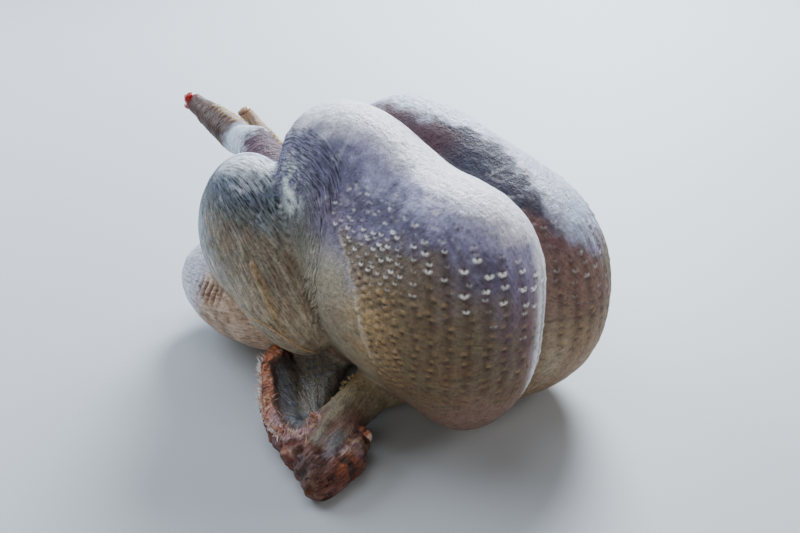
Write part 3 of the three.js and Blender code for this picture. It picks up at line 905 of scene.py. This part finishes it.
tone = painted(
    tone,
    (far_wing_tone, far_wing_share),
    (DRAB, arm_share),
    (MAROON, 0.6 * arm_share * dab([-118, 45, 24], [16, 9, 14])),
    (OCHRE, 0.55 * arm_share * dab([-92, 76, 34], [18, 10, 12])),
    (STEEL, 0.5 * arm_share * dab([-142, 38, 27], [12, 10, 12])),
    (SLATE, web_share),
    (GRAPHITE, 0.9 * web_share * ease(rim_gap, 26, 14)),
    (STEEL, 0.6 * web_share * web_beads),
    (UMBER, 0.4 * web_share * ease(web_folds, 0.1, 0.7)),
    (flesh_tone, flesh_share),
    (rim_tone, rim_share),
    (MEAT, 0.6 * wing_share * bell(rim_gap - 7.5, 2.0)),
    # Painted shade in the crevice by the elbow.
    (SHADE_BROWN, 0.85 * crevice),
)

# Follicles: painted highlights as white ticks high up and sandy knob tops lower down, painted shade in the
# pits, below them, under the knobs and in the furrows down the front columns.
brightness = np.clip(0.75 + 0.5 * chance, 0.25, 1.1) * (0.3 + 0.7 * ease(above_top, -40, -14))
brightness *= np.where(on_near, 1.0, 0.5)
tone = painted(
    tone,
    # Painted shade in the furrows down the front columns.
    (BARK, 0.5 * shaded_furrow),
    # Painted shade in the pores and below them.
    (PIT, np.clip(1.2 * peak_share / lobe_gain * (0.9 * hole + 0.7 * shade_below), 0, 0.9)),
    # Painted highlights on the upturned lips.
    (WHITE, np.clip(1.5 * peak_share * brightness * highlight_tick, 0, 0.97)),
    # Painted highlight on the knobs' tops.
    (SAND, np.clip((0.55 + 0.3 * rear_zone) * low_share * knob, 0, 0.9)),
    # Painted shade under the knobs.
    (PIT, np.clip(0.85 * low_share * under_knob, 0, 0.9)),
    (IVORY, 0.7 * edge_line),
)

skin = skin + normal * lift[:, None]
skin[:, 2] = np.maximum(skin[:, 2], 0)


def new_mesh(name, points, faces):
    mesh = bpy.data.meshes.new(name)
    corner_count = faces.shape[1]
    mesh.vertices.add(len(points))
    mesh.vertices.foreach_set("co", ((points - PART_ORIGIN) * MM).astype(np.float32).ravel())
    mesh.loops.add(faces.size)
    mesh.loops.foreach_set("vertex_index", faces.astype(np.int32).ravel())
    mesh.polygons.add(len(faces))
    mesh.polygons.foreach_set("loop_start", np.arange(0, faces.size, corner_count, dtype=np.int32))
    mesh.polygons.foreach_set("use_smooth", np.ones(len(faces), bool))
    mesh.update(calc_edges=True)
    mesh.validate()
    return mesh


def add_values(mesh, name, kind, field, values):
    """Gives each point of a mesh a value that its material can read."""
    layer = mesh.attributes.new(name, kind, "POINT")
    layer.data.foreach_set(field, values.astype(np.float32).ravel())


def new_piece(name, points, faces, tones, material, lines=None, streak=None):
    """A piece of the bird: it rides on the root and stands for the solid."""
    mesh = new_mesh(name, points, faces)
    add_values(mesh, "tone", "FLOAT_COLOR", "color", np.column_stack([tones, np.ones(len(tones))]))
    if lines is not None:
        add_values(mesh, "lines", "FLOAT_VECTOR", "vector", lines)
        add_values(mesh, "streak", "FLOAT", "value", streak)
    mesh.materials.append(material)
    piece = bpy.data.objects.new(name, mesh)
    bpy.context.scene.collection.objects.link(piece)
    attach(piece, "root")
    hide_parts("turkey")


class Nodes:
    """Short hand for the nodes of one material."""

    def __init__(self, name):
        self.material = bpy.data.materials.new(name)
        self.material.use_nodes = True
        self.tree = self.material.node_tree
        self.shader = self.tree.nodes["Principled BSDF"]

    def add(self, kind, links=None, **settings):
        node = self.tree.nodes.new("ShaderNode" + kind)
        for key, value in settings.items():
            if key in node.inputs:
                node.inputs[key].default_value = value
            else:
                setattr(node, key, value)
        for key, output in (links or {}).items():
            self.tree.links.new(output, node.inputs[key])
        return node

    def math(self, operation, *values):
        node = self.tree.nodes.new("ShaderNodeMath")
        node.operation = operation
        for socket, value in zip(node.inputs, values):
            if isinstance(value, (int, float)):
                socket.default_value = value
            else:
                self.tree.links.new(value, socket)
        return node.outputs[0]

    def scaled(self, color, factor):
        node = self.add("VectorMath", {0: color}, operation="SCALE")
        self.tree.links.new(factor, node.inputs["Scale"])
        return node.outputs["Vector"]

    def graded(self, value, start, end, most, least=0.0):
        """Runs from the least at the start of a range to the least plus the most at its end."""
        node = self.add("MapRange", {"Value": value})
        node.inputs["From Min"].default_value = start
        node.inputs["From Max"].default_value = end
        node.inputs["To Min"].default_value = least
        node.inputs["To Max"].default_value = least + most
        return node.outputs["Result"]

    def noise(self, place, scale, detail, roughness):
        node = self.add("TexNoise", {"Vector": place}, Scale=scale, Detail=detail, Roughness=roughness)
        return node.outputs["Fac"]

    def moved(self, place, scale, shift=(0.0, 0.0, 0.0)):
        return self.add("Mapping", {"Vector": place}, Scale=scale, Location=shift).outputs["Vector"]

    def product(self, a, b):
        return self.math("MULTIPLY", a, b)

    def total(self, first, *others):
        for other in others:
            first = self.math("ADD", first, other)
        return first

    def bump(self, height, strength, distance):
        node = self.add("Bump", {"Height": height}, Strength=strength, Distance=distance)
        self.link(node.outputs["Normal"], "Normal")

    def link(self, output, socket):
        self.tree.links.new(output, self.shader.inputs[socket])


def skin_material():
    """Skin with streaks and dashes along its lines, mottling and fine dots."""
    n = Nodes("raw_skin")
    tone_in = n.add("Attribute", attribute_name="tone").outputs["Color"]
    lines_in = n.add("Attribute", attribute_name="lines").outputs["Vector"]
    streak_in = n.add("Attribute", attribute_name="streak").outputs["Fac"]
    place = n.add("TexCoord").outputs["Object"]
    long_lines = n.moved(lines_in, scale=(0.085, 0.4, 1.0))
    long_noise = n.noise(long_lines, scale=1.0, detail=3.0, roughness=0.58)
    streaks = n.product(n.math("SUBTRACT", long_noise, 0.5), streak_in)
    short_lines = n.moved(lines_in, scale=(0.17, 0.5, 1.0), shift=(40.0, 17.0, 5.0))
    short_noise = n.noise(short_lines, scale=1.0, detail=2.0, roughness=0.5)
    pale_dashes = n.graded(short_noise, 0.53, 0.64, 0.28)
    dark_dashes = n.graded(short_noise, 0.48, 0.37, 0.32)
    dashes = n.product(n.math("SUBTRACT", pale_dashes, dark_dashes), streak_in)
    mottle = n.noise(place, scale=190.0, detail=6.0, roughness=0.65)
    uneven = n.product(n.math("SUBTRACT", mottle, 0.5), 1.1)
    dots = n.noise(place, scale=430.0, detail=3.0, roughness=0.6)
    pale_dots = n.graded(dots, 0.55, 0.68, 0.2)
    dark_dots = n.graded(dots, 0.46, 0.34, 0.3)
    spots = n.math("SUBTRACT", n.total(uneven, pale_dots), dark_dots)
    strokes = n.total(n.product(streaks, 2.4), dashes)
    shade = n.math("MAXIMUM", n.total(spots, strokes, 1.0), 0.2)
    n.link(n.scaled(tone_in, shade), "Base Color")
    fine = n.noise(place, scale=850.0, detail=4.0, roughness=0.65)
    grains = n.total(n.product(fine, 0.25), n.product(dots, 0.6), n.product(mottle, 0.7))
    folds = n.total(n.product(streaks, 1.4), n.product(dashes, 0.7))
    n.bump(n.total(grains, folds), strength=0.9, distance=0.0022)
    paleness = n.add("RGBToBW", {"Color": tone_in}).outputs["Val"]
    n.link(n.graded(paleness, 0.45, 0.08, 0.26, 0.36), "Roughness")
    n.shader.inputs["Specular IOR Level"].default_value = 0.32
    n.shader.inputs["Subsurface Weight"].default_value = 0.12
    n.shader.inputs["Subsurface Radius"].default_value = (1.0, 0.45, 0.3)
    n.shader.inputs["Subsurface Scale"].default_value = 0.002
    return n.material


def plain_material(name, roughness):
    """A mottled look for the small pieces."""
    n = Nodes(name)
    place = n.add("TexCoord").outputs["Object"]
    mottle = n.noise(place, scale=420.0, detail=5.0, roughness=0.7)
    shade = n.total(n.product(mottle, 0.8), 0.6)
    n.link(n.scaled(n.add("Attribute", attribute_name="tone").outputs["Color"], shade), "Base Color")
    n.bump(n.noise(place, scale=1100.0, detail=3.0, roughness=0.5), strength=0.5, distance=0.0005)
    n.shader.inputs["Roughness"].default_value = roughness
    n.shader.inputs["Specular IOR Level"].default_value = 0.3
    return n.material


new_piece("skin", skin, skin_tris, tone, skin_material(), lines, streak)


def lengths_along(places):
    """How far along a path each of its places is."""
    return np.concatenate([[0], np.cumsum(np.linalg.norm(np.diff(places, axis=0), axis=1))])


CURVE_STEPS = 60


def smooth_path(stations, step):
    """Evenly spaced points and radii on a smooth curve through the stations, and how far along each is."""
    places = places_of(stations)
    radii = np.array([radius for _, radius in stations], float)
    keys = np.concatenate([2 * places[:1] - places[1:2], places, 2 * places[-1:] - places[-2:-1]])
    runs = []
    for n in range(len(places) - 1):
        a, b, c, d = keys[n:n + 4]
        t = np.linspace(0, 1, CURVE_STEPS, endpoint=False)[:, None]
        bend = 2 * a - 5 * b + 4 * c - d
        twist = 3 * b - a - 3 * c + d
        curve = 0.5 * (2 * b + (c - a) * t + bend * t**2 + twist * t**3)
        runs.append(np.column_stack([curve, radii[n] + (radii[n + 1] - radii[n]) * t]))
    runs.append(np.append(places[-1], radii[-1])[None])
    path = np.concatenate(runs)
    length = lengths_along(path[:, :3])
    at = np.linspace(0, length[-1], int(length[-1] / step) + 1)
    return np.stack([np.interp(at, length, path[:, k]) for k in range(4)], -1), at


def frames_along(places):
    """Directions above and beside a path."""
    along = unit(np.gradient(places, axis=0))
    above = unit(np.array([0, 0, 1.0]) - along * along[:, 2:3])
    return above, np.cross(along, above)


def full_turn(count):
    """Evenly spaced angles round a circle."""
    return np.linspace(0, 2 * np.pi, count, endpoint=False)


def spokes(above, beside, turn):
    """Directions out of a path at the angles."""
    return above[:, None] * np.cos(turn)[None, :, None] + beside[:, None] * np.sin(turn)[None, :, None]


def tube(rings):
    """A closed tube of triangles through rings of points, with its two ends filled."""
    rows, sides, _ = rings.shape
    row, side = np.meshgrid(np.arange(rows - 1), np.arange(sides), indexing="ij")
    a = (row * sides + side).ravel()
    b = (row * sides + (side + 1) % sides).ravel()
    first = rows * sides
    ring = np.arange(sides)
    last = (rows - 1) * sides + ring
    faces = np.concatenate([
        triangles(a, b, b + sides),
        triangles(a, b + sides, a + sides),
        triangles(np.full(sides, first), np.roll(ring, -1), ring),
        triangles(np.full(sides, first + 1), last, np.roll(last, -1)),
    ])
    points = np.concatenate([rings.reshape(-1, 3), rings[:1].mean(axis=1), rings[-1:].mean(axis=1)])
    return points, faces


def joined(parts):
    """Several coloured meshes of triangles as one."""
    starts = np.cumsum([0] + [len(part[0]) for part in parts[:-1]])
    points = np.concatenate([part[0] for part in parts])
    faces = np.concatenate([part[1] + start for part, start in zip(parts, starts)])
    tones = np.concatenate([part[2] for part in parts])
    return points, faces, tones


# Shanks: tubes with overlapping plates along the top, small scales round the sides and a pale hock.
SHANK_SIDES = 56
SHANK_ROW = 0.7
PLATE_PITCH = 5.2
PLATE_RISE = 1.5
PLATE_TURN = 0.6
PLATES_START = (16, 24)
PLATES_END = (62, 52)
HOCK_END = (24, 10)
SCALE_PITCH = 3.1
SCALE_RISE = 0.14
SCALES_PER_HALF = 8
SCALE_GAP = rgb(44, 32, 32)
SCALE_EDGE = rgb(140, 104, 82)
PLATE_TONE = rgb(176, 146, 84)


def shank(stations, side_tone, tip_tone):
    """Points, triangles and colours of one shank."""
    path, at = smooth_path(stations, SHANK_ROW)
    above, beside = frames_along(path[:, :3])
    turn = full_turn(SHANK_SIDES)
    out = spokes(above, beside, turn)
    plated = ease(at, *PLATES_START) * ease(at, *PLATES_END)
    on_top = ease(np.cos(turn - PLATE_TURN), 0.5, 0.85)[None] * plated[:, None]
    shift = 0.2 * np.cos(3 * turn)[None] + 0.25 * np.sin(at / 7.0)[:, None]
    plate = (at[:, None] / PLATE_PITCH + shift) % 1.0
    flat = (path[:, None, :3] + out * path[:, None, 3:4]).reshape(-1, 3)
    shape = (len(path), SHANK_SIDES)
    ripple = rough(flat, 7, 63).reshape(shape)
    odd_column = np.floor(turn * SCALES_PER_HALF / np.pi)[None] % 2
    scales = np.sin(at[:, None] * 2 * np.pi / SCALE_PITCH + np.pi * odd_column)
    beads = SCALE_RISE * scales * np.abs(np.sin(turn * SCALES_PER_HALF))[None] * (1 - on_top)
    rise = PLATE_RISE * plate**2 * on_top + beads + 0.5 * ripple
    rings = path[:, None, :3] + out * (path[:, 3:4] + rise)[..., None]
    points, faces = tube(rings)
    runs = np.column_stack([at.repeat(SHANK_SIDES) / 9, np.tile(turn, len(path)) * 10, np.zeros(len(flat))])
    grainy = noise(runs, 2.2, 61)
    top = np.broadcast_to(on_top, shape).ravel()
    tones = painted(
        side_tone,
        (SCALE_GAP, 0.5 * ease(grainy, -0.2, 0.6)),
        (SCALE_EDGE, 0.2 * ease(grainy, 0.35, 0.9)),
        (PLATE_TONE, 0.85 * top * ease(plate.ravel(), 0.45, 0.95)),
        (SCALE_GAP, 0.9 * top * ease(plate.ravel(), 0.45, 0.05)),
        (FROST, 0.9 * ease(at[:, None] + 5 * ripple, *HOCK_END).ravel()),
        (tip_tone, 0.9 * ease(at[-1] - at, 7, 2).repeat(SHANK_SIDES)),
    )
    return points, faces, np.concatenate([tones, tones[:1], np.broadcast_to(tip_tone, (1, 3))])


LUMP_ROWS = 12
LUMP_END = 0.97


def lump(place, radii, seed, color, other):
    """A small uneven blob."""
    turn = full_turn(2 * LUMP_ROWS)
    height = np.linspace(-LUMP_END, LUMP_END, LUMP_ROWS)[:, None]
    flat = np.sqrt(1 - height**2)
    way = np.stack([flat * np.cos(turn), flat * np.sin(turn), height + 0 * turn], -1)
    bumps = 1 + 0.18 * rough(way.reshape(-1, 3) * 3 + 40 * seed, 1.6, seed).reshape(way.shape[:2])
    points, faces = tube(np.array(place) + way * np.array(radii) * bumps[..., None])
    return points, faces, mix(color, other, ease(rough(points, 4, seed + 3), -0.1, 0.8))


# A spike has rings at shares of its length. ACROSS_SPIKES is a way that gives each one its sides.
SPIKE_SIDES = 6
SPIKE_SHARES = np.array([0, 0.35, 0.7, 1.0])
SPIKE_TAPER = 0.75
ACROSS_SPIKES = [0.31, 0.52, 0.8]


def spike(place, way, length, radius, color, bend):
    """A thin tapering shred."""
    way = unit(way)
    beside = unit(np.cross(way, ACROSS_SPIKES))
    above = np.cross(beside, way)
    turn = full_turn(SPIKE_SIDES)
    circle = np.cos(turn)[:, None] * beside + np.sin(turn)[:, None] * above
    t = SPIKE_SHARES
    spine = np.array(place) + t[:, None] * length * way + (t**2)[:, None] * bend * length * above
    points, faces = tube(spine[:, None] + circle[None] * (radius * (1 - SPIKE_TAPER * t))[:, None, None])
    return points, faces, np.broadcast_to(color, points.shape)


RED = rgb(168, 26, 24)
DEEP_RED = rgb(96, 14, 18)
TIP = rgb(176, 128, 122)
SHANK_TONE = rgb(72, 44, 38)
FAR_TIP = rgb(164, 128, 98)
new_piece("shanks", *joined([shank(SHANK, SHANK_TONE, DEEP_RED), shank(FAR_SHANK, BLUSH, FAR_TIP)]),
          plain_material("scaly_skin", 0.55))

# Cut ends of the shanks and the knob on the wing's end.
new_piece("cut_ends", *joined([
    lump([-36, 322, 167], [5.5, 4.5, 4.5], 3, RED, DEEP_RED),
    lump([-31, 324, 163], [4.8, 4.5, 4.8], 5, RED, DEEP_RED),
    lump([-37, 325, 160], [2.4, 4.6, 2.2], 7, TIP, RED),
    lump([24, 330, 138], [6, 5, 5], 9, FAR_TIP, MEAT),
    lump([-117, 33, 20], [5, 4, 4.5], 11, PEACH, FLESH),
]), plain_material("wet_flesh", 0.25))


def place_along(stations, share):
    """The place at a share of the way along a limb's stations."""
    places = places_of(stations)
    length = lengths_along(places)
    return np.array([np.interp(share * length[-1], length, places[:, k]) for k in range(3)])


def shred(place, way, color, lengths, radii, bend):
    """A spike whose length, radius and bend are drawn at random."""
    length = draw.uniform(*lengths)
    radius = draw.uniform(*radii)
    return spike(place, way, length, radius, color, draw.normal(0, bend))


# White shreds outside the wing's torn rim, pink and rusty ones on it, and drab ones along the arm's edge.
RIM_SHREDS = 170
FLESH_SHREDS = 130
ARM_SHREDS = 60
ARM_EDGE = line([-84, 78, 34], [-122, 68, 24])
shreds = []
for _ in range(RIM_SHREDS):
    place = place_along(RIM_LINE, draw.uniform(0.06, 0.68))
    outward = unit(np.append(place[:2] - WEB_MIDDLE, 0))
    way = outward + [0, 0, 0.35] + draw.normal(0, 0.4, 3)
    color = mix(WHITE, FLESH, draw.uniform(0, 0.7))
    start = place + 3.5 * outward + [0, 0, draw.uniform(-4, 0.5)]
    shreds.append(shred(start, way, color, (2.5, 6.5), (0.2, 0.5), 0.4))
for _ in range(FLESH_SHREDS):
    place = place_along(RIM_LINE, draw.uniform(0.4, 1.0))
    way = np.array([0, 0, 0.25]) + draw.normal(0, 0.6, 3) * [1, 1, 0.4]
    color = mix(PEACH, RUST, draw.uniform(0, 0.9))
    start = place + draw.normal(0, 2.0, 3) * [1, 1, 0.2] + [0, 0, 1.0]
    shreds.append(shred(start, way, color, (3, 7), (0.3, 0.8), 0.6))
for _ in range(ARM_SHREDS):
    start = place_along(ARM_EDGE, draw.uniform(0.0, 1.0)) + draw.normal(0, 1.2, 3)
    way = np.array([-0.3, 0.8, 0.35]) + draw.normal(0, 0.35, 3)
    color = mix(OCHRE, DRAB, draw.uniform(0, 1))
    shreds.append(shred(start, way, color, (1.5, 3.5), (0.4, 0.9), 0.2))
new_piece("shreds", *joined(shreds), plain_material("torn_fibres", 0.5))

# A loose tendon that lies along the knee.
TENDON = [
    ([-119, 150, 66], 0.3), ([-122.9, 138.6, 70.1], 0.45), ([-120.8, 124.9, 68.4], 0.55),
    ([-115.3, 113.6, 61.9], 0.6), ([-107.2, 106.4, 53.4], 0.6), ([-101, 101, 46], 0.5),
]
TENDON_ROW = 1.2
TENDON_SIDES = 8
path, _ = smooth_path(TENDON, TENDON_ROW)
path[:, :3] = draw_onto(draw_onto(path[:, :3], 6), 6)
path[:, :3] += 0.5 * slope(path[:, :3])
out = spokes(*frames_along(path[:, :3]), full_turn(TENDON_SIDES))
points, faces = tube(path[:, None, :3] + out * path[:, None, 3:4])
new_piece("tendon", points, faces, np.broadcast_to(SAND, points.shape), plain_material("sinew", 0.4))

# Floor.
FLOOR = 6.0
FLOOR_TONE = (0.42, 0.45, 0.48, 1)
floor_mesh = bpy.data.meshes.new("floor")
floor_corners = [(-FLOOR, -FLOOR, 0), (FLOOR, -FLOOR, 0), (FLOOR, FLOOR, 0), (-FLOOR, FLOOR, 0)]
floor_mesh.from_pydata(floor_corners, [], [(0, 1, 2, 3)])
floor = bpy.data.objects.new("floor", floor_mesh)
bpy.context.scene.collection.objects.link(floor)
floor_look = Nodes("pale_floor")
floor_look.shader.inputs["Base Color"].default_value = FLOOR_TONE
floor_look.shader.inputs["Roughness"].default_value = 0.6
floor_mesh.materials.append(floor_look.material)

# Light: a pale sky, and soft lamps that all face the bird, each with its place, size, power and colour.
SKY_LIGHT = (0.72, 0.84, 1.0, 1)
SKY_STRENGTH = 0.1
LAMP_TARGET = Vector((0, 0, 0.1))
LAMPS = [
    ("back_window", (1.35, 0.75, 1.1), 0.9, 108, (0.86, 0.93, 1.0)),
    ("left_window", (-0.35, 1.45, 0.9), 1.2, 33, (0.80, 0.90, 1.0)),
    ("right_window", (1.2, -0.9, 0.6), 0.8, 10, (1.0, 0.95, 0.92)),
    ("overhead", (0.1, 0.3, 1.6), 1.2, 12, (0.88, 0.94, 1.0)),
    ("front_fill", (-1.3, -0.9, 0.6), 1.2, 8.5, (1.0, 0.90, 0.78)),
]
world = bpy.data.worlds.new("studio")
world.use_nodes = True
sky = world.node_tree.nodes["Background"]
sky.inputs["Color"].default_value = SKY_LIGHT
sky.inputs["Strength"].default_value = SKY_STRENGTH
bpy.context.scene.world = world
for name, place, size, power, color in LAMPS:
    light = bpy.data.lights.new(name, "AREA")
    light.shape = "DISK"
    light.size = size
    light.energy = power
    light.color = color
    lamp = bpy.data.objects.new(name, light)
    lamp.location = place
    lamp.rotation_euler = (LAMP_TARGET - Vector(place)).to_track_quat("-Z", "Y").to_euler()
    bpy.context.scene.collection.objects.link(lamp)

# Camera, at the photo's angle: lens and sensor in millimetres, place in metres, and the way it is turned.
LENS = 51.75
SENSOR_WIDTH = 36
CAMERA_PLACE = (-0.519715, -0.576007, 0.468934)
CAMERA_RIGHT = Vector((0.70711, -0.70711, 0))
CAMERA_UP = Vector((0.32102, 0.32102, 0.89101))
camera_data = bpy.data.cameras.new("camera")
camera_data.lens = LENS
camera_data.sensor_width = SENSOR_WIDTH
camera = bpy.data.objects.new("camera", camera_data)
camera_turn = Matrix((CAMERA_RIGHT, CAMERA_UP, CAMERA_RIGHT.cross(CAMERA_UP))).transposed().to_4x4()
camera.matrix_world = Matrix.Translation(CAMERA_PLACE) @ camera_turn
bpy.context.scene.collection.objects.link(camera)
bpy.context.scene.camera = camera
